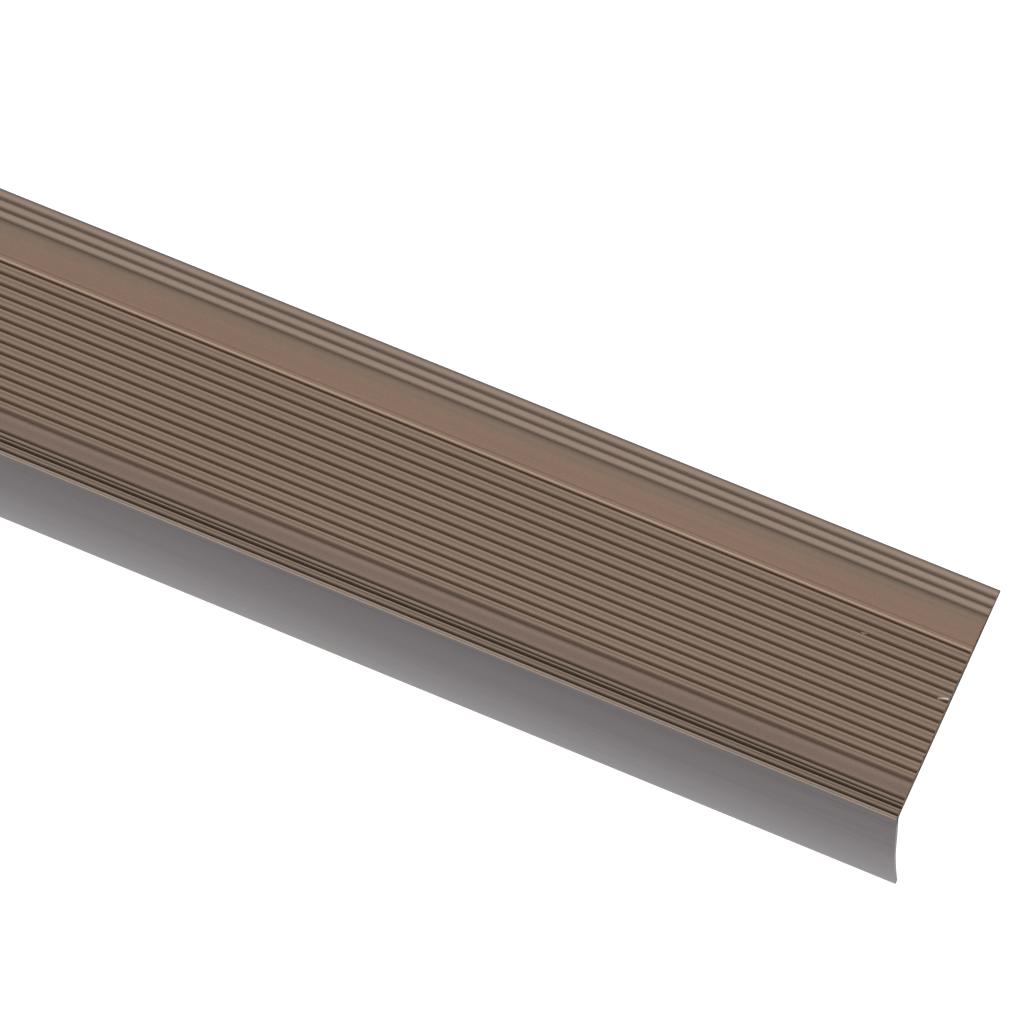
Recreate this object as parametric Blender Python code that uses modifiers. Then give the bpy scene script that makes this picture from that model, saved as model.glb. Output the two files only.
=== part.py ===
"""A ribbed aluminium sill nosing: the threshold strip that covers the front edge of a door sill.

The strip is one extrusion. Its tread lies on the sill, with grip ribs at the back, a smooth band for the screws,
a field of narrow grooves and a rounded nosing. Its apron hangs from the nosing over the front of the sill.
Two countersunk screws go down through the smooth band into the sill.

Frame, in metres: X runs along the strip, Y points to the back (indoors) and Z up. The origin is on the tread's
flat underside, at mid-length and midway between the back edge and the nosing.
A "station" is the distance from the back edge towards the nosing.
"""

import math

import bmesh
import bpy
from mathutils import Matrix, Vector

# Overall sizes of the extrusion
LENGTH = 0.9144
DEPTH = 0.06985
HEIGHT = 0.0381
TREAD_THICKNESS = 0.0025
APRON_THICKNESS = 0.0012

# The tread's top surface rises from the back edge, runs flat, and tips down towards the nosing
BACK_SLOPE = math.radians(6.5)
BACK_BEND_END = 0.0145
BACK_BEND = 0.005
NOSE_SLOPE = math.radians(4.5)
NOSE_BEND_START = 0.051
NOSE_BEND = 0.003

# The apron leaves the nosing straight, then curves until it hangs almost upright. Angles are below the horizontal.
APRON_TOP_ANGLE = math.radians(75)
APRON_BOTTOM_ANGLE = math.radians(88)
APRON_STRAIGHT = 0.0145

# Grip grooves along the back edge
BACK_GROOVES = 3
BACK_GROOVE_FIRST = 0.00263
BACK_GROOVE_PITCH = 0.00252
BACK_GROOVE_HALF_WIDTH = 0.00098
BACK_GROOVE_DEPTH = 0.00046
BACK_GROOVE_RUN_OUT = 0.0015

# Every groove is a V whose shoulders are eased by this power
GROOVE_EASE = 1.6

# The field of narrow grooves, whose lands each carry a faint centre line, and the bead that borders it
FIELD_GROOVES = 13
FIELD_FIRST = 0.01773
FIELD_PITCH = 0.002705
FIELD_HALF_WIDTH = 0.0006
FIELD_DEPTH = 0.0005
FIELD_FIRST_REAR_WIDTH = 0.00034
LAND_LINE_HALF_WIDTH = 0.00038
LAND_LINE_DEPTH = 0.00007
BEAD_BEFORE_FIELD = 0.00067
BEAD_HALF_WIDTH = 0.00033
BEAD_HEIGHT = 0.0001
BAND_LINE_BEFORE_FIELD = 0.00155

# Grooves in front of the field: distance back from the nosing, half width behind, half width in front, depth
NOSE_GROOVES = (
    (0.00979, 0.00093, 0.00125, 0.00052),
    (0.00510, 0.00060, 0.00060, 0.00043),
    (0.00387, 0.00035, 0.00035, 0.00030),
    (0.00292, 0.00055, 0.00055, 0.00056),
    (0.00192, 0.00030, 0.00030, 0.00006),
    (0.00094, 0.00048, 0.00048, 0.00044),
)

# Corner radii of the section
BACK_TOP_RADIUS = 0.0007
BACK_BOTTOM_RADIUS = 0.0002
NOSING_RADIUS = 0.00045
INNER_CORNER_RADIUS = 0.0012
APRON_EDGE_RADIUS = 0.0003

# How finely the curved stretches are divided
GROOVE_STEPS = 8
LAND_LINE_STEPS = 6
SMOOTH_STEP = 0.001
CORNER_STEPS = 5
APRON_STEPS = 14
TURN_STEPS = 32
SETTLING_ROUNDS = 20

# Countersunk wood screws, no. 5 by 1 inch, at the third points of the length
SCREW_POSITIONS = {"fixing_screw_left": -LENGTH / 6, "fixing_screw_right": LENGTH / 6}
SCREW_STATION = 0.0128
SCREW_SINK = 0.00015
SCREW_LENGTH = 0.0254
HEAD_RADIUS = 0.00305
HEAD_RIM = 0.0002
HEAD_HALF_ANGLE = math.radians(41)
SHANK_RADIUS = 0.0016
SHANK_LENGTH = 0.008
THREAD_RADIUS = 0.00145
THREAD_SHOULDER = 0.0004
TIP_LENGTH = 0.0035
TIP_RADIUS = 0.0002
RECESS_WIDTH = 0.0009
RECESS_SPAN = 0.0033
RECESS_DEPTH = 0.0014
RECESS_NARROWING = 0.45
GAP = 0.0003

# Sizes that follow from the ones above
APRON_BOTTOM = TREAD_THICKNESS + BEAD_HEIGHT - HEIGHT
CUTTER_REACH = 0.0006


def bend_drop(distance, bend, angle):
    """How far a surface has fallen at a distance past the start of a bend: a parabola, then a straight slope."""
    if distance <= 0:
        return 0.0
    if distance < bend:
        return math.tan(angle) * distance**2 / (2 * bend)
    return math.tan(angle) * (distance - bend / 2)


def tread_height(station):
    """Height of the tread's top surface above its underside, before grooves."""
    back = bend_drop(BACK_BEND_END - station, BACK_BEND, BACK_SLOPE)
    front = bend_drop(station - NOSE_BEND_START, NOSE_BEND, NOSE_SLOPE)
    return TREAD_THICKNESS - back - front


def apron_radius(nosing_height):
    """Radius of the apron's outer arc that brings its lower edge down to the strip's full height."""
    left_to_fall = nosing_height - APRON_BOTTOM - APRON_STRAIGHT * math.sin(APRON_TOP_ANGLE)
    return left_to_fall / (math.cos(APRON_TOP_ANGLE) - math.cos(APRON_BOTTOM_ANGLE))


def apron_reach(radius):
    """How far the apron's lower edge stands in front of the nosing."""
    arc = radius * (math.sin(APRON_BOTTOM_ANGLE) - math.sin(APRON_TOP_ANGLE))
    return APRON_STRAIGHT * math.cos(APRON_TOP_ANGLE) + arc


def tread_depth():
    """Distance from the back edge to the nosing. The nosing's height depends on it only through the front slope."""
    depth = DEPTH
    for _ in range(SETTLING_ROUNDS):
        depth = DEPTH - apron_reach(apron_radius(tread_height(depth)))
    return depth


TREAD_DEPTH = tread_depth()


def tread_point(station, height):
    """A point of the section, as (Y, Z), from its station and its height above the underside."""
    return Vector((TREAD_DEPTH / 2 - station, height))


def back_grooves():
    """The grip grooves. The last one runs out gently into the smooth band."""
    found = []
    for i in range(BACK_GROOVES):
        ahead = BACK_GROOVE_RUN_OUT if i == BACK_GROOVES - 1 else BACK_GROOVE_HALF_WIDTH
        station = BACK_GROOVE_FIRST + i * BACK_GROOVE_PITCH
        found.append((station, BACK_GROOVE_HALF_WIDTH, ahead, BACK_GROOVE_DEPTH))
    return found


def faint_line(station):
    """A line so shallow that it only catches the light."""
    return (station, LAND_LINE_HALF_WIDTH, LAND_LINE_HALF_WIDTH, LAND_LINE_DEPTH)


def land_line(groove, following):
    """The faint line along the middle of the land between two grooves."""
    land_start = groove[0] + groove[2]
    land_end = following[0] - following[1]
    return faint_line((land_start + land_end) / 2)


def grooves():
    """Every groove of the tread from the back edge forwards: station, half width behind, half width in front, depth.

    A negative depth is a bead that stands proud.
    """
    field = []
    for i in range(FIELD_GROOVES):
        behind = FIELD_FIRST_REAR_WIDTH if i == 0 else FIELD_HALF_WIDTH
        field.append((FIELD_FIRST + i * FIELD_PITCH, behind, FIELD_HALF_WIDTH, FIELD_DEPTH))
    nose = [(TREAD_DEPTH - distance, *rest) for distance, *rest in NOSE_GROOVES]
    bead = (FIELD_FIRST - BEAD_BEFORE_FIELD, BEAD_HALF_WIDTH, BEAD_HALF_WIDTH, -BEAD_HEIGHT)
    lines = [land_line(*pair) for pair in zip(field, field[1:] + nose[:1], strict=True)]
    lines.append(faint_line(FIELD_FIRST - BAND_LINE_BEFORE_FIELD))
    return sorted(back_grooves() + field + nose + lines + [bead])


def groove_share(across, depth):
    """Share of a groove's depth reached at a place across it, from -1 to 1. Beads and faint lines are rounded."""
    if depth > LAND_LINE_DEPTH:
        return (1 - abs(across)) ** GROOVE_EASE
    return math.cos(across * math.pi / 2) ** 2


def groove_points(groove):
    """Points across one groove, bead or faint line."""
    station, behind, ahead, depth = groove
    steps = GROOVE_STEPS if depth > LAND_LINE_DEPTH else LAND_LINE_STEPS
    points = []
    for i in range(steps + 1):
        across = 2 * i / steps - 1
        at = station + across * (behind if across < 0 else ahead)
        height = tread_height(at) - depth * groove_share(across, depth)
        points.append(tread_point(at, height))
    return points


def smooth_points(start, end):
    """Points between two stations of the smooth surface, ends left out."""
    steps = max(1, math.ceil((end - start) / SMOOTH_STEP))
    stations = [start + (end - start) * i / steps for i in range(1, steps)]
    return [tread_point(s, tread_height(s)) for s in stations]


def tread_line():
    """The tread's top surface from just past the back edge to just before the nosing."""
    points = []
    reached = BACK_TOP_RADIUS
    for groove in grooves():
        station, behind, ahead, _ = groove
        points += smooth_points(reached, station - behind)
        points += groove_points(groove)
        reached = station + ahead
    return points


def fillet(before, corner, after, radius):
    """The arc that rounds a corner between two straight sides."""
    to_before = (before - corner).normalized()
    to_after = (after - corner).normalized()
    half = to_before.angle(to_after) / 2
    centre = corner + (to_before + to_after).normalized() * (radius / math.sin(half))
    reach = radius / math.tan(half)
    start = corner + to_before * reach - centre
    end = corner + to_after * reach - centre
    turns = [start.slerp(end, i / CORNER_STEPS).normalized() for i in range(CORNER_STEPS + 1)]
    return [centre + turn * radius for turn in turns]


def apron_line(nosing, offset):
    """The apron's face from the end of its straight stretch down to its lower edge, offset inwards from outside."""
    down = Vector((-math.cos(APRON_TOP_ANGLE), -math.sin(APRON_TOP_ANGLE)))
    inwards = Vector((-down.y, down.x))
    arc_start = nosing + down * APRON_STRAIGHT
    radius = apron_radius(nosing.y)
    centre = arc_start + inwards * radius
    points = []
    for i in range(APRON_STEPS + 1):
        angle = APRON_TOP_ANGLE + (APRON_BOTTOM_ANGLE - APRON_TOP_ANGLE) * i / APRON_STEPS
        outwards = Vector((-math.sin(angle), math.cos(angle)))
        points.append(centre + outwards * (radius - offset))
    return points


def section():
    """The closed outline of the extrusion, in order: up the back edge, along the tread, down and up the apron."""
    nosing = tread_point(TREAD_DEPTH, tread_height(TREAD_DEPTH))
    back_top = tread_point(0, tread_height(0))
    back_bottom = tread_point(0, 0)
    tread = tread_line()
    outer = apron_line(nosing, 0)
    inner = apron_line(nosing, APRON_THICKNESS)
    top_direction = Vector((math.cos(APRON_TOP_ANGLE), math.sin(APRON_TOP_ANGLE)))
    inner_corner = inner[0] + top_direction * (-inner[0].y / top_direction.y)
    outline = fillet(inner_corner, back_bottom, back_top, BACK_BOTTOM_RADIUS)
    outline += fillet(back_bottom, back_top, tread[0], BACK_TOP_RADIUS)
    outline += tread
    outline += fillet(tread[-1], nosing, outer[0], NOSING_RADIUS)
    outline += outer[:-1]
    outline += fillet(outer[-2], outer[-1], inner[-1], APRON_EDGE_RADIUS)
    outline += fillet(outer[-1], inner[-1], inner[-2], APRON_EDGE_RADIUS)
    outline += reversed(inner[:-1])
    outline += fillet(inner[0], inner_corner, back_bottom, INNER_CORNER_RADIUS)
    return outline


def collection(name):
    """A new collection in the scene."""
    made = bpy.data.collections.new(name)
    bpy.context.scene.collection.children.link(made)
    return made


def material(name, colour, roughness, metallic):
    """A plain metal finish."""
    made = bpy.data.materials.new(name)
    made.use_nodes = True
    shader = made.node_tree.nodes["Principled BSDF"]
    shader.inputs["Base Color"].default_value = (*colour, 1)
    shader.inputs["Roughness"].default_value = roughness
    shader.inputs["Metallic"].default_value = metallic
    return made


def extruded(name, outline, length, target):
    """A mesh made from a flat outline in (Y, Z), extruded along X, centred on X = 0."""
    curve = bpy.data.curves.new(name, "CURVE")
    curve.dimensions = "2D"
    curve.fill_mode = "BOTH"
    curve.extrude = length / 2
    spline = curve.splines.new("POLY")
    spline.points.add(len(outline) - 1)
    for point, place in zip(spline.points, outline, strict=True):
        point.co = (place.x, place.y, 0, 1)
    spline.use_cyclic_u = True
    holder = bpy.data.objects.new(name + "_outline", curve)
    target.objects.link(holder)
    holder.matrix_world = Matrix(((0, 0, 1, 0), (1, 0, 0, 0), (0, 1, 0, 0), (0, 0, 0, 1)))
    bpy.context.view_layer.update()
    evaluated = holder.evaluated_get(bpy.context.evaluated_depsgraph_get())
    mesh = bpy.data.meshes.new_from_object(evaluated)
    mesh.name = name
    made = bpy.data.objects.new(name, mesh)
    target.objects.link(made)
    made.matrix_world = holder.matrix_world.copy()
    bpy.data.objects.remove(holder)
    weld(mesh)
    return made


def weld(mesh):
    """Joins the loose caps of a converted outline to its walls, with every face pointing out."""
    work = bmesh.new()
    work.from_mesh(mesh)
    bmesh.ops.remove_doubles(work, verts=work.verts, dist=0.000001)
    bmesh.ops.recalc_face_normals(work, faces=work.faces)
    work.to_mesh(mesh)
    work.free()


def turned(name, profile, target):
    """A solid of revolution about its own Z, from (radius, height) points that run from top to bottom."""
    mesh = bpy.data.meshes.new(name)
    points = [(radius, 0, height) for radius, height in profile]
    edges = [(i, i + 1) for i in range(len(points) - 1)]
    mesh.from_pydata(points, edges, [])
    made = bpy.data.objects.new(name, mesh)
    target.objects.link(made)
    spin = made.modifiers.new("turn", "SCREW")
    spin.steps = TURN_STEPS
    spin.render_steps = TURN_STEPS
    spin.use_merge_vertices = True
    spin.merge_threshold = 0.00001
    return made


def cone_drop():
    """Height of the head's cone, from its rim to the shank."""
    return (HEAD_RADIUS - SHANK_RADIUS) / math.tan(HEAD_HALF_ANGLE)


def screw_profile():
    """The screw's outline from the centre of its head down to its tip, with the head's top at height 0."""
    cone_end = -HEAD_RIM - cone_drop()
    shank_end = -SHANK_LENGTH
    return [
        (0, 0),
        (HEAD_RADIUS, 0),
        (HEAD_RADIUS, -HEAD_RIM),
        (SHANK_RADIUS, cone_end),
        (SHANK_RADIUS, shank_end),
        (THREAD_RADIUS, shank_end - THREAD_SHOULDER),
        (THREAD_RADIUS, TIP_LENGTH - SCREW_LENGTH),
        (TIP_RADIUS, -SCREW_LENGTH),
        (0, -SCREW_LENGTH),
    ]


def countersink_profile():
    """The hole for a screw: its head's cone and its shank, each with a gap all round, from above the tread down."""
    side_gap = GAP / math.cos(HEAD_HALF_ANGLE)
    slope = math.tan(HEAD_HALF_ANGLE)
    cone_end = -HEAD_RIM - cone_drop()
    mouth = HEAD_RADIUS + side_gap + (HEAD_RIM + CUTTER_REACH) * slope
    return [
        (0, CUTTER_REACH),
        (mouth, CUTTER_REACH),
        (SHANK_RADIUS + side_gap, cone_end),
        (SHANK_RADIUS + side_gap, -TREAD_THICKNESS - CUTTER_REACH),
        (0, -TREAD_THICKNESS - CUTTER_REACH),
    ]


def cutter(made, cutters):
    """Marks an object as a cutter: drawn as wire, never rendered."""
    made.display_type = "WIRE"
    made.hide_render = True
    if made.name not in cutters.objects:
        cutters.objects.link(made)
    return made


def cut(target, tool):
    """Takes the tool's shape away from the target."""
    difference = target.modifiers.new(tool.name, "BOOLEAN")
    difference.operation = "DIFFERENCE"
    difference.object = tool


def recess_wing(name, turn, cutters):
    """One bar of the cross recess: a box that narrows downwards, with its top at height 0."""
    mesh = bpy.data.meshes.new(name)
    work = bmesh.new()
    bmesh.ops.create_cube(work, size=1)
    for corner in work.verts:
        narrow = 1.0 if corner.co.z > 0 else RECESS_NARROWING
        corner.co.x *= RECESS_SPAN * narrow
        corner.co.y *= RECESS_WIDTH * (0.5 + narrow / 2)
        corner.co.z = CUTTER_REACH if corner.co.z > 0 else -RECESS_DEPTH
    work.to_mesh(mesh)
    work.free()
    made = cutter(bpy.data.objects.new(name, mesh), cutters)
    made.rotation_euler.z = turn
    return made


def screw(name, x, finish, parts, cutters, parent):
    """One countersunk screw in the smooth band, its head just below the tread's surface."""
    top = tread_height(SCREW_STATION) - SCREW_SINK
    made = turned(name, screw_profile(), parts)
    made.data.materials.append(finish)
    made.location = (x, TREAD_DEPTH / 2 - SCREW_STATION, top)
    made.parent = parent
    for bar, turn in enumerate((math.radians(30), math.radians(120))):
        wing = recess_wing(f"{name}_recess_{bar}", turn, cutters)
        wing.location = made.location
        cut(made, wing)
    hole = cutter(turned(f"{name}_hole", countersink_profile(), cutters), cutters)
    hole.location = made.location
    return hole


def shade(made):
    """Shades round faces smooth and keeps real corners sharp."""
    made.data.shade_smooth()
    made.data.set_sharp_from_angle(angle=math.radians(35))


def build():
    """Builds the strip and its screws."""
    for old in list(bpy.data.objects):
        bpy.data.objects.remove(old)
    parts = collection("threshold_strip")
    cutters = collection("cutters")
    bronze = material("bronze_anodised", (0.21, 0.15, 0.115), 0.42, 0.85)
    screw_bronze = material("screw_bronze", (0.12, 0.085, 0.065), 0.38, 0.9)
    origin = bpy.data.objects.new("strip_origin", None)
    parts.objects.link(origin)
    extrusion = extruded("nosing_extrusion", section(), LENGTH, parts)
    extrusion.data.materials.append(bronze)
    extrusion.parent = origin
    shade(extrusion)
    for name, x in SCREW_POSITIONS.items():
        cut(extrusion, screw(name, x, screw_bronze, parts, cutters, origin))


build()
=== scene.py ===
import math

import bmesh
import bpy
import numpy as np
from mathutils import Matrix, Quaternion, Vector
from mathutils.kdtree import KDTree


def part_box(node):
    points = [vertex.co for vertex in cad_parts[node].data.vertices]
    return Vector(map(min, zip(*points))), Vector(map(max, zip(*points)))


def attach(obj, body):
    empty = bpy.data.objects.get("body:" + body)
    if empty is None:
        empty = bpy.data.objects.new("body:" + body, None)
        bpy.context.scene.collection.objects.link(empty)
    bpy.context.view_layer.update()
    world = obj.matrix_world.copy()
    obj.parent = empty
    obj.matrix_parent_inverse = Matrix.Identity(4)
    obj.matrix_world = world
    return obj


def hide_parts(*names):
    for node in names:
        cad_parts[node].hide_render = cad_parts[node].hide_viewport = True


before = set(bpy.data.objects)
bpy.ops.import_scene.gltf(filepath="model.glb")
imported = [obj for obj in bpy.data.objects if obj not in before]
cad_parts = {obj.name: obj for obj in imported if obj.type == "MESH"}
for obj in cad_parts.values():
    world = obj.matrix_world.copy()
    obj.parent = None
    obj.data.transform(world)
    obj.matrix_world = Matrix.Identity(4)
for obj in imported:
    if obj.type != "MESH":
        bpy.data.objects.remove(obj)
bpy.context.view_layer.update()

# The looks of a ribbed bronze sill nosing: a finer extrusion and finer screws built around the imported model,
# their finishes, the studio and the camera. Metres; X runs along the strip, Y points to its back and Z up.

EXTRUSION = "nosing_extrusion"
SCREWS = ("fixing_screw_left", "fixing_screw_right")
SCREW_TURNS = (math.radians(30), math.radians(64))
BODY = "root"
STRIP_LOW, STRIP_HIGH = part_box(EXTRUSION)

# Camera: where it looks, measured from the strip's right-hand end and its flat underside, and from where
CAMERA_LOOKS_BEFORE_END = 0.11873
CAMERA_LOOKS_AT_Y = 0.00383
CAMERA_AZIMUTH = math.radians(43.944)
CAMERA_ELEVATION = math.radians(72.220)
CAMERA_ROLL = math.radians(-20.497)
CAMERA_DISTANCE = 2.4642
CAMERA_LENS = 353.8
CAMERA_SEES_TO = 50

# Extrusion: how finely its section is drawn, and its sawn ends' easing as (distance from the end, inset)
WELD = 0.000002
FINE_PIECES = 2
LONGEST_FINE_SEGMENT = 0.0013
END_EASE = ((0.0, 0.00006), (0.00004, 0.00002), (0.0001, 0.0))
RING_PAST_HOLE = 0.006
SHARP_FOLD = math.radians(32)
TREAD_TOP_ABOVE = 0.001
SAWN_FACING = 0.9
SAWN_WITHIN = 0.001

# What the finish is told about the section: how open each place is, how worn and where its edges get a painted
# highlight, and which side it is on
OPENNESS_RAYS = 17
OPENNESS_SWEEP = 1.4
OPENNESS_REACH = 0.004
OPENNESS_LIFT = 0.00001
PARALLEL = 1e-15
WORN_TURN = math.radians(40)
OUTER_TILT = 0.05
WEAR_REACH = 0.00022
WEAR_PAST_BACK = 0.001

# The bead's painted highlight: its half width, its flat share and how far it lies ahead of the bead's crest
BEAD_REACH = 0.0003
BEAD_FLAT = 1.25
BEAD_LIT_AHEAD = 0.00012

# The nosing: the way its front edge faces, and how far back from the strip's front it can be
NOSING_TURN = math.radians(40)
NOSING_WITHIN = 0.0076

# The bronze's colour across the outer face: 0 is the back edge, 1 the nosing and 2 the apron's lower edge.
# Besides the bronze's own colour it holds painted light: painted shade on the rounded back edge and at the
# smooth band's back, the band warmer towards its front, painted shade on the front band, painted highlights
# on the land before the nose grooves and on the nosing's edge, painted shade just under the nosing, and the
# apron dark at its top and lighter down to its lower edge as a painted reflection of the floor
BRONZE_WITH_PAINTED_LIGHT = (
    (0.000, (0.060, 0.050, 0.052)),
    (0.006, (0.080, 0.066, 0.066)),
    (0.013, (0.295, 0.214, 0.168)),
    (0.115, (0.295, 0.214, 0.166)),
    (0.128, (0.170, 0.117, 0.081)),
    (0.145, (0.190, 0.131, 0.090)),
    (0.180, (0.228, 0.147, 0.100)),
    (0.255, (0.246, 0.147, 0.100)),
    (0.280, (0.229, 0.158, 0.110)),
    (0.825, (0.225, 0.155, 0.110)),
    (0.850, (0.182, 0.119, 0.095)),
    (0.895, (0.205, 0.136, 0.110)),
    (0.912, (0.240, 0.165, 0.128)),
    (0.930, (0.190, 0.138, 0.103)),
    (0.989, (0.190, 0.138, 0.103)),
    (0.995, (0.380, 0.310, 0.275)),
    (1.002, (0.380, 0.310, 0.275)),
    (1.014, (0.026, 0.016, 0.018)),
    (1.070, (0.038, 0.031, 0.036)),
    (1.300, (0.064, 0.052, 0.062)),
    (1.600, (0.088, 0.078, 0.090)),
    (2.000, (0.090, 0.084, 0.092)),
)
INNER_BRONZE = (0.200, 0.145, 0.108)
DIE_LINE_BRONZE = (0.160, 0.114, 0.084)
WORN_AND_HIGHLIT_BRONZE = (0.36, 0.27, 0.21)
BEAD_HIGHLIGHT_BRONZE = (0.57, 0.41, 0.305)
BARE_METAL = (0.90, 0.86, 0.82)
PAINTED_END_SHADE = (0.050, 0.053, 0.060)

# Painted light in the grooves: painted shade behind the field, groove bottoms painted lighter in the field,
# painted shade in the nose, where the last two start, and the openness over which it is blended in
REAR_GROOVE_SHADE = (0.100, 0.058, 0.034)
FIELD_GROOVE_LIGHT = (0.340, 0.225, 0.145)
NOSE_GROOVE_SHADE = (0.190, 0.130, 0.090)
FIELD_STARTS = (0.15, 0.2)
NOSE_STARTS = (0.90, 0.93)
GROOVE_PAINT_OPENNESS = (0.95, 0.55)

# Relief heights of the bronze's die lines, fine lines and grain
DIE_LINE_HEIGHT = 0.000012
FINE_LINE_HEIGHT = 0.000003
GRAIN_HEIGHT = 0.0000025

# Small damage on the tread's top: each runs from one place to another, both given as distances from the
# right-hand end and from the back edge, with a half width and how far it stands up (or, below 0, is cut in)
NICKS = (
    ((0.00320, 0.03124), (0.00025, 0.03046), 0.00024, 0.00009),
    ((0.02699, 0.02316), (0.02527, 0.02285), 0.00011, -0.00008),
)
NICK_RING_STEP = 0.00022
NICK_TAPER = 9

# The sawn ends: how ragged they are, how dark and pale their painted shade is, and the painted shade beside
# the right-hand one
SAWN_DARK = (0.030, 0.033, 0.037)
SAWN_GREY = (0.10, 0.105, 0.115)
SAW_MARK = (0.022, 0.024, 0.027)
SAWN_APRON = (0.26, 0.265, 0.27)
SAW_MARK_HEIGHT = 0.00001
SAW_ROUGHNESS = 0.00013
SAW_KNOTS = 90
SAW_SEED = 7
END_SHADE_RAGGED = 0.0016
END_SHADE_SPAN = (STRIP_HIGH.x + 0.00075, STRIP_HIGH.x + 0.0009)

# Countersunk screws, in metres and angles, except that a SHARE is of the head's radius. The head's edge is
# rounded by steps of (inset, depth), in edge sizes; the recess narrows by levels of (depth, span, width)
SCREW_STEEL_DARK = (0.095, 0.064, 0.046)
SCREW_STEEL = (0.150, 0.105, 0.078)
SCREW_RUBBED = (0.33, 0.27, 0.22)
SCREW_GRAIN_HEIGHT = 0.000004
SCREW_SHARP_FOLD = math.radians(38)
HEAD_MIDDLE_SHARE = 0.5
HEAD_HALF_ANGLE = math.radians(41)
HEAD_RIM = 0.0002
HEAD_EDGE = 0.00008
HEAD_EDGE_STEPS = ((2, 0.0), (0.6, 0.25), (0.1, 0.8))
RIM_FULL = 0.7
RIM_EASE = 0.3
NECK_EASE = 0.00012
NECK_ABOVE = 0.0001
NECK_BELOW = 0.0002
SHOULDER_TOP = 0.0004
SHOULDER_MIDDLE = 0.0001
SHOULDER_NARROWS = 0.9
SHOULDER_END = 0.0003
SHANK_SHARE = 0.5246
THREAD_ROOT_SHARE = 0.36
THREAD_CREST = 0.99
THREAD_PITCH = 0.00127
THREAD_START = 0.0078
THREAD_TAPER = 0.0042
RECESS_SPAN = 0.0033
RECESS_WIDTH = 0.00085
RECESS_DEPTH = 0.0014
RECESS_ROOT = 1.35
RECESS_LEVELS = (
    (-0.0005, 1.06, 1.03),
    (0.0, 1.0, 1.0),
    (0.0009, 0.72, 0.85),
    (RECESS_DEPTH, 0.3, 0.6),
)
RIDGE_WIDTH = 0.42
THREAD_RUN_IN = 0.0012
THREAD_RINGS_A_TURN = 12
TIP_ROUNDING = 0.7
TIP_RIDGE = 1.6
TIP_RADIUS = 0.00004
TIP_LENGTH = 0.0001
THINNEST_CORE = 0.00005
HOLE_GAP = 0.0003
HOLE_CUT_ABOVE = 0.0006
HOLE_CUT_BELOW = 0.004
TURN_STEPS = 48

# Studio: the floor, and the surround light with the way it is brightest and how far down its glow reaches
FLOOR_SIZE = 400.0
FLOOR_GAP = 0.0006
BRIGHTEST_WAY = (0.0, 0.55, 0.835)
SKY_COLOUR = (1.0, 0.995, 0.99, 1)
FLOOR_GLOW = 0.85
DIM_SIDE = 0.42
BRIGHT_TOP = 1.15
GLOW_STARTS = 0.30
HORIZON_BLEND = 0.02


# ---------------------------------------------------------------- the extrusion's section

def cad_outline():
    """The section's outline as (y, z) points in order, read from the CAD extrusion's right-hand end face."""
    work = bmesh.new()
    work.from_mesh(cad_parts[EXTRUSION].data)
    bmesh.ops.remove_doubles(work, verts=work.verts, dist=WELD)
    cap = {f for f in work.faces if all(abs(v.co.x - STRIP_HIGH.x) < WELD for v in f.verts)}
    rim = [e for e in work.edges if sum(f in cap for f in e.link_faces) == 1]
    beside = {}
    for edge in rim:
        for vert in edge.verts:
            beside.setdefault(vert, []).append(edge.other_vert(vert))
    start = rim[0].verts[0]
    loop = [start, beside[start][0]]
    while loop[-1] is not start:
        one, other = beside[loop[-1]]
        loop.append(other if one is loop[-2] else one)
    points = np.array([(v.co.y, v.co.z) for v in loop[:-1]])
    work.free()
    return points if signed_area(points) > 0 else points[::-1]


def signed_area(points):
    """Area inside a closed outline, positive when it runs anticlockwise."""
    after = np.roll(points, -1, axis=0)
    return float(np.sum(points[:, 0] * after[:, 1] - after[:, 0] * points[:, 1])) / 2


def unit(vectors):
    """The vectors at length one."""
    return vectors / np.linalg.norm(vectors, axis=1)[:, None]


def tangents(points):
    """Direction of travel at each point of a closed outline. The nearer neighbour counts for more."""
    ahead = np.roll(points, -1, axis=0) - points
    behind = points - np.roll(points, 1, axis=0)
    ahead_length = np.linalg.norm(ahead, axis=1)[:, None]
    behind_length = np.linalg.norm(behind, axis=1)[:, None]
    return unit(ahead / ahead_length * behind_length + behind / behind_length * ahead_length)


def outward_normals(points):
    """Outward normals of an anticlockwise outline."""
    along = tangents(points)
    return np.stack([along[:, 1], -along[:, 0]], axis=1)


def smoothed_outline(points):
    """The outline kept in the CAD box, its short facets drawn as smooth curves and its long ones divided."""
    along = tangents(points)
    made = []
    for i, start in enumerate(points):
        j = (i + 1) % len(points)
        end = points[j]
        reach = np.linalg.norm(end - start)
        if reach > LONGEST_FINE_SEGMENT:
            pieces = math.ceil(reach / LONGEST_FINE_SEGMENT)
            made += [start + (end - start) * piece / pieces for piece in range(pieces)]
            continue
        for piece in range(FINE_PIECES):
            t = piece / FINE_PIECES
            made.append(
                (2 * t**3 - 3 * t**2 + 1) * start
                + (t**3 - 2 * t**2 + t) * reach * along[i]
                + (3 * t**2 - 2 * t**3) * end
                + (t**3 - t**2) * reach * along[j]
            )
    lowest = (STRIP_LOW.y, STRIP_LOW.z)
    highest = (STRIP_HIGH.y, STRIP_HIGH.z)
    return np.clip(np.array(made), lowest, highest)


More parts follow.
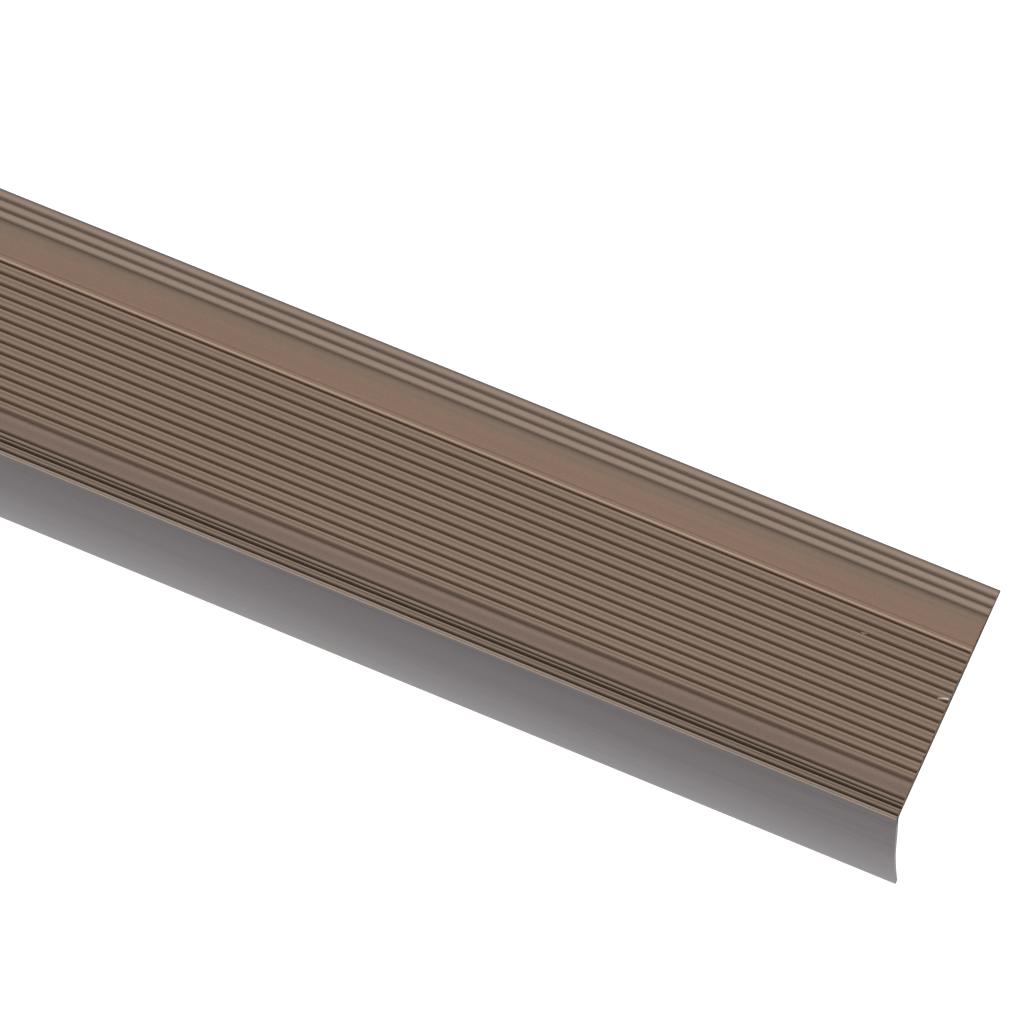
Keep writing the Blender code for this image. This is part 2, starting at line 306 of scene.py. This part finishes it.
def openness(points):
    """How much of the light each point of the outline sees, from 0 in a deep groove to 1 on an open face."""
    normals = outward_normals(points)
    origins = points + normals * OPENNESS_LIFT
    spans = np.roll(points, -1, axis=0) - points
    seen = np.zeros(len(points))
    total = 0.0
    for turn in np.linspace(-OPENNESS_SWEEP, OPENNESS_SWEEP, OPENNESS_RAYS):
        rays = np.stack(
            [
                normals[:, 0] * math.cos(turn) - normals[:, 1] * math.sin(turn),
                normals[:, 0] * math.sin(turn) + normals[:, 1] * math.cos(turn),
            ],
            axis=1,
        )
        gap = points[None] - origins[:, None]
        cross = rays[:, None, 0] * spans[None, :, 1] - rays[:, None, 1] * spans[None, :, 0]
        cross[np.abs(cross) < PARALLEL] = PARALLEL
        along_ray = (gap[..., 0] * spans[None, :, 1] - gap[..., 1] * spans[None, :, 0]) / cross
        along_span = (gap[..., 0] * rays[:, None, 1] - gap[..., 1] * rays[:, None, 0]) / cross
        blocked = (along_ray > 0) & (along_ray < OPENNESS_REACH) & (along_span >= 0) & (along_span <= 1)
        seen += math.cos(turn) * ~blocked.any(axis=1)
        total += math.cos(turn)
    return seen / total


def edge_wear_and_highlight(points):
    """How exposed each point is to rubbing, which also places a painted highlight on edges: 1 on a proud edge,
    0 on a flat or in a hollow.
    """
    length = np.linalg.norm(np.roll(points, -1, axis=0) - points, axis=1)
    places = np.concatenate([[0], np.cumsum(length)])
    around = places[-1]
    closed = np.concatenate([points, points[:1]])

    def at(place):
        place = place % around
        return np.stack([np.interp(place, places, closed[:, k]) for k in (0, 1)], axis=1)

    before = unit(points - at(places[:-1] - WEAR_REACH))
    after = unit(at(places[:-1] + WEAR_REACH) - points)
    turn = before[:, 0] * after[:, 1] - before[:, 1] * after[:, 0]
    worn_and_highlit = np.clip(turn / math.sin(WORN_TURN), 0, 1)
    return worn_and_highlit * (points[:, 0] < STRIP_HIGH.y - WEAR_PAST_BACK)


def across_face(points):
    """Where each point lies across: 0 at the back edge, 1 at the nosing, 2 at the apron's lower edge."""
    nosing_y, nosing_z = nosing_point()
    on_tread = (STRIP_HIGH.y - points[:, 0]) / (STRIP_HIGH.y - nosing_y)
    on_apron = 1 + (nosing_z - points[:, 1]) / (nosing_z - STRIP_LOW.z)
    return np.where(points[:, 0] > nosing_y, on_tread, on_apron)


def inner_share(points):
    """1 on the faces that lie against the sill, 0 on the tread's top and the apron's outer face."""
    normals = outward_normals(points)
    return ((normals[:, 1] < OUTER_TILT) & (normals[:, 0] > -OUTER_TILT)).astype(float)


def lip_share(points):
    """1 on the proud bead behind the grooves, where a highlight is painted."""
    bead = OUTLINE[np.argmax(OUTLINE[:, 1]), 0]
    near = np.clip(BEAD_FLAT - np.abs(points[:, 0] - bead + BEAD_LIT_AHEAD) / BEAD_REACH, 0, 1)
    return near * (points[:, 1] > TREAD_TOP_ABOVE)


def nick_share(x, y):
    """How far inside the small damage a place on the tread is, from 0 to 1, and its height there."""
    share, height = 0.0, 0.0
    place = Vector((STRIP_HIGH.x - x, STRIP_HIGH.y - y))
    for start, end, half_width, rise in NICKS:
        start, end = Vector(start), Vector(end)
        along = (place - start).dot(end - start) / (end - start).length_squared
        if 0 < along < 1:
            off = (place - start.lerp(end, along)).length / half_width
            inside = max(0.0, 1 - off * off) * min(1.0, NICK_TAPER * along, NICK_TAPER * (1 - along))
            share = max(share, inside)
            height += rise * inside
    return share, height


def nosing_point():
    """The nosing's front edge, (y, z): where the outline turns down from the tread to the apron."""
    ahead = outward_normals(OUTLINE)
    turning = np.abs(ahead[:, 0] + math.sin(NOSING_TURN)) + np.abs(ahead[:, 1] - math.cos(NOSING_TURN))
    forward = OUTLINE[:, 0] < STRIP_LOW.y + NOSING_WITHIN
    return OUTLINE[np.argmin(np.where(forward, turning, np.inf))]


# ---------------------------------------------------------------- meshes

def new_object(name, mesh):
    """An object in the scene for a mesh."""
    made = bpy.data.objects.new(name, mesh)
    bpy.context.scene.collection.objects.link(made)
    return made


def ring_mesh(name, rings):
    """A mesh from equal rings of points, walled between neighbours and closed with a cap at each end."""
    count = len(rings[0])
    verts = [tuple(point) for ring in rings for point in ring]
    faces = []
    for r in range(len(rings) - 1):
        for i in range(count):
            j = (i + 1) % count
            faces.append((r * count + i, r * count + j, (r + 1) * count + j, (r + 1) * count + i))
    faces.append(tuple(reversed(range(count))))
    faces.append(tuple(range((len(rings) - 1) * count, len(rings) * count)))
    mesh = bpy.data.meshes.new(name)
    mesh.from_pydata(verts, [], faces)
    work = bmesh.new()
    work.from_mesh(mesh)
    bmesh.ops.recalc_face_normals(work, faces=work.faces)
    work.to_mesh(mesh)
    work.free()
    return mesh


def apply_modifiers(made):
    """Makes the evaluated mesh the object's own."""
    evaluated = made.evaluated_get(bpy.context.evaluated_depsgraph_get())
    mesh = bpy.data.meshes.new_from_object(evaluated)
    mesh.name = made.name
    made.modifiers.clear()
    made.data = mesh


def subtract(made, tools):
    """Cuts the tools out of an object and removes them."""
    for tool in tools:
        cut = made.modifiers.new(tool.name, "BOOLEAN")
        cut.operation = "DIFFERENCE"
        cut.object = tool
    apply_modifiers(made)
    for tool in tools:
        bpy.data.objects.remove(tool)


def turned(name, profile, place):
    """A solid of revolution from (radius, height) points, about an upright axis at a place."""
    rings = []
    turns = [2 * math.pi * k / TURN_STEPS for k in range(TURN_STEPS)]
    for radius, height in profile:
        rings.append([(radius * math.cos(a), radius * math.sin(a), height) for a in turns])
    made = new_object(name, ring_mesh(name, rings))
    made.location = place
    return made


# ---------------------------------------------------------------- the extrusion

def ring_stations():
    """Where the section is repeated along X, with how far it is drawn in there, from left to right."""
    stations = {}
    for distance, inset in END_EASE:
        stations[STRIP_LOW.x + distance] = inset
        stations[STRIP_HIGH.x - distance] = inset
    for screw in SCREWS:
        middle = screw_top(screw)[0].x
        stations[middle - RING_PAST_HOLE] = 0.0
        stations[middle + RING_PAST_HOLE] = 0.0
    for start, end, _, _ in NICKS:
        steps = math.ceil((start[0] - end[0]) / NICK_RING_STEP)
        for k in range(steps + 1):
            stations[STRIP_HIGH.x - start[0] + (start[0] - end[0]) * k / steps] = 0.0
    return sorted(stations.items())


def extrusion_rings():
    """The outline repeated along X: eased and ragged at the sawn ends, and raised or cut at the nicks."""
    inwards = -outward_normals(OUTLINE)
    knots = np.random.default_rng(SAW_SEED).random(SAW_KNOTS)
    round_outline = np.linspace(0, SAW_KNOTS - 1, len(OUTLINE))
    ragged = SAW_ROUGHNESS * np.interp(round_outline, range(SAW_KNOTS), knots)
    rings = []
    for x, inset in ring_stations():
        at_end = min(x - STRIP_LOW.x, STRIP_HIGH.x - x) <= END_EASE[-1][0] + WELD
        pulls = ragged * at_end * math.copysign(1, x)
        ring = []
        for pull, (y, z) in zip(pulls, OUTLINE + inwards * inset, strict=True):
            rise = nick_share(x, y)[1] if z > TREAD_TOP_ABOVE else 0.0
            ring.append((x - pull, y, min(z + rise, STRIP_HIGH.z)))
        rings.append(ring)
    return rings


def screw_top(screw):
    """The middle of a screw's head, at its top, and the head's radius."""
    low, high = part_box(screw)
    middle = (low + high) / 2
    return Vector((middle.x, middle.y, high.z)), (high.y - low.y) / 2


def countersink(screw):
    """The cutter for a screw's hole: a cone for its head and a bore for its shank, with a gap all round."""
    top, radius = screw_top(screw)
    slope = math.tan(HEAD_HALF_ANGLE)
    gap = HOLE_GAP / math.cos(HEAD_HALF_ANGLE)
    bore = radius * SHANK_SHARE + gap
    cone_end = -HEAD_RIM - radius * (1 - SHANK_SHARE) / slope
    mouth = radius + gap + (HEAD_RIM + HOLE_CUT_ABOVE) * slope
    profile = [(mouth, HOLE_CUT_ABOVE), (bore, cone_end), (bore, -HOLE_CUT_BELOW)]
    return turned(f"{screw}_hole", profile, top)


def give_attribute(mesh, name, values, tree):
    """A number for each vertex, taken from the nearest point of the outline."""
    attribute = mesh.attributes.new(name, "FLOAT", "POINT")
    for vert in mesh.vertices:
        _, nearest, _ = tree.find((0, vert.co.y, vert.co.z))
        attribute.data[vert.index].value = float(values[nearest])


def mark_nicks(mesh):
    """Marks bare metal on the vertices inside the small damage."""
    attribute = mesh.attributes.new("bare", "FLOAT", "POINT")
    for vert in mesh.vertices:
        if vert.co.z > TREAD_TOP_ABOVE:
            attribute.data[vert.index].value = nick_share(vert.co.x, vert.co.y)[0]


def make_extrusion():
    """The aluminium extrusion with its grooves, screw holes and sawn ends."""
    made = new_object("ribbed_nosing", ring_mesh("ribbed_nosing", extrusion_rings()))
    made.data.materials.append(bronze_finish())
    made.data.materials.append(sawn_finish())
    subtract(made, [countersink(screw) for screw in SCREWS])
    mesh = made.data
    mesh.shade_smooth()
    mesh.set_sharp_from_angle(angle=SHARP_FOLD)
    tree = KDTree(len(OUTLINE))
    for i, (y, z) in enumerate(OUTLINE):
        tree.insert((0, y, z), i)
    tree.balance()
    give_attribute(mesh, "openness", openness(OUTLINE), tree)
    give_attribute(mesh, "wear", edge_wear_and_highlight(OUTLINE), tree)
    give_attribute(mesh, "across", across_face(OUTLINE), tree)
    give_attribute(mesh, "inner", inner_share(OUTLINE), tree)
    give_attribute(mesh, "lip", lip_share(OUTLINE), tree)
    mark_nicks(mesh)
    for face in mesh.polygons:
        from_end = min(STRIP_HIGH.x - face.center.x, face.center.x - STRIP_LOW.x)
        if abs(face.normal.x) > SAWN_FACING and from_end < SAWN_WITHIN:
            face.material_index = 1
            face.use_smooth = False
    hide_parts(EXTRUSION)
    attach(made, BODY)


# ---------------------------------------------------------------- the screws

def thread_radius(depth, angle, crest, root, length):
    """Radius of a wood screw's threaded part, at a depth below the head's top and an angle round the axis."""
    turns = depth / THREAD_PITCH - angle / (2 * math.pi)
    phase = abs(turns % 1.0 - 0.5) * 2
    ridge = max(0.0, 1 - phase / RIDGE_WIDTH)
    rise = min(1.0, max(0.0, (depth - THREAD_START) / THREAD_RUN_IN))
    left = max(0.0, length - depth)
    taper = min(1.0, left / THREAD_TAPER)
    core = root * taper**TIP_ROUNDING
    tall = (crest - root) * rise * min(1.0, taper * TIP_RIDGE)
    return max(THINNEST_CORE, core + tall * ridge)


def screw_rings(radius, length):
    """Rings down a screw from the middle of its head to its gimlet point, its top at height 0."""
    shank = radius * SHANK_SHARE
    root = radius * THREAD_ROOT_SHARE
    cone_end = HEAD_RIM + (radius - shank) / math.tan(HEAD_HALF_ANGLE)
    head = [(radius * HEAD_MIDDLE_SHARE, 0.0)]
    head += [(radius - HEAD_EDGE * inset, HEAD_EDGE * depth) for inset, depth in HEAD_EDGE_STEPS]
    head += [
        (radius, HEAD_RIM * RIM_FULL),
        (radius - HEAD_EDGE * RIM_EASE, HEAD_RIM),
        (shank + NECK_EASE, cone_end - NECK_ABOVE),
        (shank, cone_end + NECK_BELOW),
        (shank, THREAD_START - SHOULDER_TOP),
        (shank * SHOULDER_NARROWS, THREAD_START - SHOULDER_MIDDLE),
        (root, THREAD_START + SHOULDER_END),
    ]
    turns = [2 * math.pi * k / TURN_STEPS for k in range(TURN_STEPS)]
    rings = [[(r * math.cos(a), r * math.sin(a), -depth) for a in turns] for r, depth in head]
    step = THREAD_PITCH / THREAD_RINGS_A_TURN
    depth = THREAD_START + SHOULDER_END + step
    while depth < length - TIP_LENGTH:
        ring = []
        for a in turns:
            r = thread_radius(depth, a, shank * THREAD_CREST, root, length)
            ring.append((r * math.cos(a), r * math.sin(a), -depth))
        rings.append(ring)
        depth += step
    rings.append([(TIP_RADIUS * math.cos(a), TIP_RADIUS * math.sin(a), -length) for a in turns])
    return rings


def cross_cutter(name, place, turn):
    """A cross recess: a four-armed outline that narrows to a point as it goes down."""
    half_span, half_width = RECESS_SPAN / 2, RECESS_WIDTH / 2
    root = half_width * RECESS_ROOT
    quarter = [(half_span, -half_width), (half_span, half_width), (root, root)]
    rings = []
    for depth, span_scale, width_scale in RECESS_LEVELS:
        ring = []
        for k in range(4):
            c, s = math.cos(turn + k * math.pi / 2), math.sin(turn + k * math.pi / 2)
            for x, y in quarter:
                x, y = x * span_scale, y * width_scale
                ring.append((x * c - y * s, x * s + y * c, -depth))
        rings.append(ring)
    made = new_object(name, ring_mesh(name, rings))
    made.location = place
    return made


def make_screw(screw, turn):
    """A countersunk cross-head wood screw."""
    top, radius = screw_top(screw)
    low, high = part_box(screw)
    name = screw.replace("fixing", "countersunk")
    made = new_object(name, ring_mesh(name, screw_rings(radius, high.z - low.z)))
    made.data.transform(Matrix.Translation(top))
    made.data.materials.append(screw_finish())
    subtract(made, [cross_cutter(f"{name}_recess", top, turn)])
    made.data.shade_smooth()
    made.data.set_sharp_from_angle(angle=SCREW_SHARP_FOLD)
    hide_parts(screw)
    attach(made, BODY)


# ---------------------------------------------------------------- finishes

class Finish:
    """A node material under construction."""

    def __init__(self, name):
        self.material = bpy.data.materials.new(name)
        self.material.use_nodes = True
        self.tree = self.material.node_tree
        self.shader = self.tree.nodes["Principled BSDF"]
        self.place = self.add("ShaderNodeTexCoord").outputs["Object"]

    def add(self, kind, inputs=None, **settings):
        """A new node with its settings, and its inputs set to values or linked to sockets."""
        made = self.tree.nodes.new(kind)
        for name, value in settings.items():
            setattr(made, name, value)
        for name, value in (inputs or {}).items():
            self.connect(made.inputs[name], value)
        return made

    def connect(self, socket, value):
        """Links a socket to another, or sets it to a plain value."""
        if isinstance(value, bpy.types.NodeSocket):
            self.tree.links.new(value, socket)
        else:
            socket.default_value = value

    def set(self, **inputs):
        """Sets the shader's own inputs, named with underscores for spaces."""
        for name, value in inputs.items():
            self.connect(self.shader.inputs[name.replace("_", " ")], value)

    def attribute(self, name):
        """A number stored on the mesh."""
        return self.add("ShaderNodeAttribute", attribute_name=name).outputs["Fac"]

    def stretched(self, scale):
        """The object's own coordinates, scaled along each axis."""
        return self.add("ShaderNodeMapping", {"Vector": self.place, "Scale": scale}).outputs["Vector"]

    def noise(self, scale, detail, roughness=0.55):
        """Smooth noise, about 0.5 on average, with so many features a metre along each axis."""
        values = {"Vector": self.stretched(scale), "Scale": 1.0, "Detail": detail, "Roughness": roughness}
        return self.add("ShaderNodeTexNoise", values).outputs["Fac"]

    def spread(self, value, low, high, to_low=0.0, to_high=1.0):
        """A number moved from one range to another, clamped."""
        values = {"Value": value, "From Min": low, "From Max": high, "To Min": to_low, "To Max": to_high}
        return self.add("ShaderNodeMapRange", values).outputs["Result"]

    def maths(self, operation, a, b):
        """One sum on two numbers."""
        made = self.add("ShaderNodeMath", operation=operation)
        self.connect(made.inputs[0], a)
        self.connect(made.inputs[1], b)
        return made.outputs[0]

    def blend(self, share, a, b):
        """Colour a turning into colour b as share goes from 0 to 1."""
        made = self.add("ShaderNodeMix", data_type="RGBA")
        self.connect(made.inputs[0], share)
        self.connect(made.inputs[6], a if isinstance(a, bpy.types.NodeSocket) else (*a, 1))
        self.connect(made.inputs[7], b if isinstance(b, bpy.types.NodeSocket) else (*b, 1))
        return made.outputs[2]

    def scaled(self, colour, factor):
        """A colour made lighter or darker by a factor."""
        made = self.add("ShaderNodeVectorMath", operation="SCALE")
        self.connect(made.inputs[0], colour)
        self.connect(made.inputs["Scale"], factor)
        return made.outputs[0]

    def ramp(self, value, rows, scale):
        """A colour read from rows of (place, colour), the places multiplied by a scale to run from 0 to 1."""
        made = self.add("ShaderNodeValToRGB", {"Fac": value})
        elements = made.color_ramp.elements
        for element, (place, colour) in zip(elements, (rows[0], rows[-1]), strict=True):
            element.position = place * scale
            element.color = (*colour, 1)
        for place, colour in rows[1:-1]:
            elements.new(place * scale).color = (*colour, 1)
        return made.outputs["Color"]

    def bump(self, height, distance, normal=None):
        """Relief of a height from 0 to 1 that is so many metres tall."""
        values = {"Height": height, "Distance": distance, "Strength": 1.0}
        if normal is not None:
            values["Normal"] = normal
        return self.add("ShaderNodeBump", values).outputs["Normal"]


def bronze_finish():
    """Bronze anodising over an extruded, etched surface: die lines along the strip, with painted shade and
    painted light in the grooves, painted highlights on edges and the nosing, and painted shade along the
    right-hand end.
    """
    finish = Finish("bronze_anodised")
    open_share = finish.attribute("openness")
    clouds = finish.noise((9, 30, 30), 3)
    lines = finish.noise((5, 1500, 1500), 2, 0.6)
    fine_lines = finish.noise((14, 6000, 6000), 2, 0.6)
    grain = finish.noise((5200, 5200, 5200), 2)

    # The table's colour: the bronze with painted highlights, painted shade and the apron's painted reflection
    # of the floor.
    outer = finish.ramp(finish.maths("MULTIPLY", finish.attribute("across"), 0.5), BRONZE_WITH_PAINTED_LIGHT, 0.5)
    colour = finish.blend(finish.attribute("inner"), outer, INNER_BRONZE)
    colour = finish.scaled(colour, finish.spread(clouds, 0.3, 0.7, 0.97, 1.03))
    speckle = finish.noise((1300, 3200, 3200), 2)
    colour = finish.scaled(colour, finish.spread(speckle, 0.3, 0.7, 0.93, 1.07))
    colour = finish.blend(finish.spread(lines, 0.35, 0.65, 0, 0.22), colour, DIE_LINE_BRONZE)

    # The grooves' tone is painted light: painted shade in the rear and nose grooves, the field's groove
    # bottoms painted lighter.
    in_field = finish.spread(finish.attribute("across"), *FIELD_STARTS)
    groove_light_and_shade = finish.blend(in_field, REAR_GROOVE_SHADE, FIELD_GROOVE_LIGHT)
    in_nose = finish.spread(finish.attribute("across"), *NOSE_STARTS)
    groove_light_and_shade = finish.blend(in_nose, groove_light_and_shade, NOSE_GROOVE_SHADE)
    colour = finish.blend(finish.spread(open_share, *GROOVE_PAINT_OPENNESS, 0, 0.65), colour, groove_light_and_shade)

    # A painted shade along the right-hand end, ragged by noise, on the tread only.
    burr = finish.noise((400, 900, 900), 3)
    end = finish.add("ShaderNodeSeparateXYZ", {"Vector": finish.place}).outputs["X"]
    on_tread = finish.spread(finish.attribute("across"), 1.0, 1.02, 1.0, 0.0)
    ragged_end = finish.maths("ADD", end, finish.maths("MULTIPLY", burr, END_SHADE_RAGGED))
    near_end = finish.spread(ragged_end, *END_SHADE_SPAN)
    colour = finish.blend(finish.maths("MULTIPLY", near_end, on_tread), colour, PAINTED_END_SHADE)

    # Proud edges turned lighter: partly real wear, partly a painted highlight.
    worn_and_highlit = finish.maths("MULTIPLY", finish.attribute("wear"), finish.spread(clouds, 0.25, 0.75, 0.35, 0.75))
    colour = finish.blend(worn_and_highlit, colour, WORN_AND_HIGHLIT_BRONZE)
    # A painted highlight on the bead.
    colour = finish.blend(finish.attribute("lip"), colour, BEAD_HIGHLIGHT_BRONZE)
    colour = finish.blend(finish.attribute("bare"), colour, BARE_METAL)

    roughness = finish.spread(fine_lines, 0.3, 0.7, 0.36, 0.46)
    normal = finish.bump(lines, DIE_LINE_HEIGHT)
    normal = finish.bump(fine_lines, FINE_LINE_HEIGHT, normal)
    normal = finish.bump(grain, GRAIN_HEIGHT, normal)
    finish.set(
        Base_Color=colour,
        Metallic=1.0,
        Roughness=roughness,
        Normal=normal,
        Specular_Tint=(0.8, 0.8, 0.8, 1),
        Coat_Weight=0.5,
        Coat_Roughness=0.28,
        Coat_IOR=1.6,
    )
    return finish.material


def sawn_finish():
    """The sawn ends: bare aluminium with its colour painted dark and grey as shade, lighter on the apron's
    end, with the saw's curved marks.
    """
    finish = Finish("sawn_aluminium")
    marks = finish.add("ShaderNodeTexWave", {
        "Vector": finish.stretched((1, 1, 1)),
        "Scale": 900.0,
        "Distortion": 4.0,
        "Detail": 3.0,
        "Detail Scale": 2.0,
    }, wave_type="RINGS", rings_direction="X").outputs["Fac"]
    smear = finish.noise((200, 500, 900), 4)
    # The ends' dark and grey tones are painted shade.
    colour = finish.blend(finish.spread(smear, 0.35, 0.65), SAWN_DARK, SAWN_GREY)
    colour = finish.blend(finish.spread(marks, 0.2, 0.8, 0.0, 0.45), colour, SAW_MARK)
    height = finish.add("ShaderNodeSeparateXYZ", {"Vector": finish.place}).outputs["Z"]
    # Lighter towards the apron's end.
    colour = finish.blend(finish.spread(height, 0.0, -0.003), colour, SAWN_APRON)
    finish.set(
        Base_Color=colour,
        Metallic=0.3,
        Specular_IOR_Level=0.2,
        Roughness=finish.spread(smear, 0.3, 0.7, 0.75, 0.9),
        Normal=finish.bump(marks, SAW_MARK_HEIGHT),
    )
    return finish.material


def screw_finish():
    """Bronzed steel, a little rubbed."""
    name = "bronzed_steel"
    if name in bpy.data.materials:
        return bpy.data.materials[name]
    finish = Finish(name)
    tone = finish.noise((600, 600, 600), 4)
    rubbed = finish.noise((1800, 1800, 1800), 3)
    colour = finish.blend(finish.spread(tone, 0.3, 0.7), SCREW_STEEL_DARK, SCREW_STEEL)
    colour = finish.blend(finish.spread(rubbed, 0.62, 0.78, 0, 0.5), colour, SCREW_RUBBED)
    finish.set(
        Base_Color=colour,
        Metallic=0.92,
        Roughness=finish.spread(tone, 0.3, 0.7, 0.30, 0.44),
        Normal=finish.bump(rubbed, SCREW_GRAIN_HEIGHT),
    )
    return finish.material


# ---------------------------------------------------------------- studio and camera

def make_floor():
    """A plain, bright white floor just below the strip."""
    mesh = bpy.data.meshes.new("floor")
    work = bmesh.new()
    bmesh.ops.create_grid(work, x_segments=1, y_segments=1, size=FLOOR_SIZE / 2)
    work.to_mesh(mesh)
    work.free()
    floor = new_object("floor", mesh)
    floor.location.z = STRIP_LOW.z - FLOOR_GAP
    finish = Finish("floor_white")
    finish.set(
        Base_Color=(0.8, 0.8, 0.8, 1),
        Roughness=0.9,
        Emission_Color=SKY_COLOUR,
        Emission_Strength=FLOOR_GLOW,
    )
    mesh.materials.append(finish.material)


def set_range(node, low, high, to_low, to_high):
    """Sets the four ends of a Map Range node."""
    ends = {"From Min": low, "From Max": high, "To Min": to_low, "To Max": to_high}
    for name, value in ends.items():
        node.inputs[name].default_value = value


def make_world():
    """A soft studio surround: brightest overhead and a little behind, dim near the horizon, pale below."""
    world = bpy.data.worlds.new("studio")
    world.use_nodes = True
    tree = world.node_tree
    way = tree.nodes.new("ShaderNodeTexCoord").outputs["Generated"]
    towards = tree.nodes.new("ShaderNodeVectorMath")
    towards.operation = "DOT_PRODUCT"
    towards.inputs[1].default_value = BRIGHTEST_WAY
    tree.links.new(way, towards.inputs[0])
    glow = tree.nodes.new("ShaderNodeMapRange")
    glow.interpolation_type = "SMOOTHSTEP"
    set_range(glow, GLOW_STARTS, 1.0, DIM_SIDE, BRIGHT_TOP)
    tree.links.new(towards.outputs["Value"], glow.inputs["Value"])
    height = tree.nodes.new("ShaderNodeSeparateXYZ")
    tree.links.new(way, height.inputs[0])
    below = tree.nodes.new("ShaderNodeMapRange")
    set_range(below, 0.0, HORIZON_BLEND, 1.0, 0.0)
    tree.links.new(height.outputs["Z"], below.inputs["Value"])
    strength = tree.nodes.new("ShaderNodeMath")
    strength.operation = "MAXIMUM"
    tree.links.new(glow.outputs["Result"], strength.inputs[0])
    tree.links.new(below.outputs["Result"], strength.inputs[1])
    background = tree.nodes["Background"]
    background.inputs["Color"].default_value = SKY_COLOUR
    tree.links.new(strength.outputs[0], background.inputs["Strength"])
    bpy.context.scene.world = world


def make_camera():
    """Looks down on the right-hand end from the front right, rolled so that the strip falls to the right."""
    back = Vector((
        math.sin(CAMERA_AZIMUTH) * math.cos(CAMERA_ELEVATION),
        -math.cos(CAMERA_AZIMUTH) * math.cos(CAMERA_ELEVATION),
        math.sin(CAMERA_ELEVATION),
    ))
    target = Vector((STRIP_HIGH.x - CAMERA_LOOKS_BEFORE_END, CAMERA_LOOKS_AT_Y, 0))
    data = bpy.data.cameras.new("camera")
    data.lens = CAMERA_LENS
    data.clip_end = CAMERA_SEES_TO
    camera = new_object("camera", data)
    camera.location = target + back * CAMERA_DISTANCE
    camera.rotation_mode = "QUATERNION"
    camera.rotation_quaternion = (-back).to_track_quat("-Z", "Y") @ Quaternion((0, 0, 1), CAMERA_ROLL)
    bpy.context.scene.camera = camera


OUTLINE = smoothed_outline(cad_outline())
make_camera()
make_world()
make_floor()
make_extrusion()
for screw, turn in zip(SCREWS, SCREW_TURNS, strict=True):
    make_screw(screw, turn)
bpy.context.scene.view_settings.view_transform = "Standard"
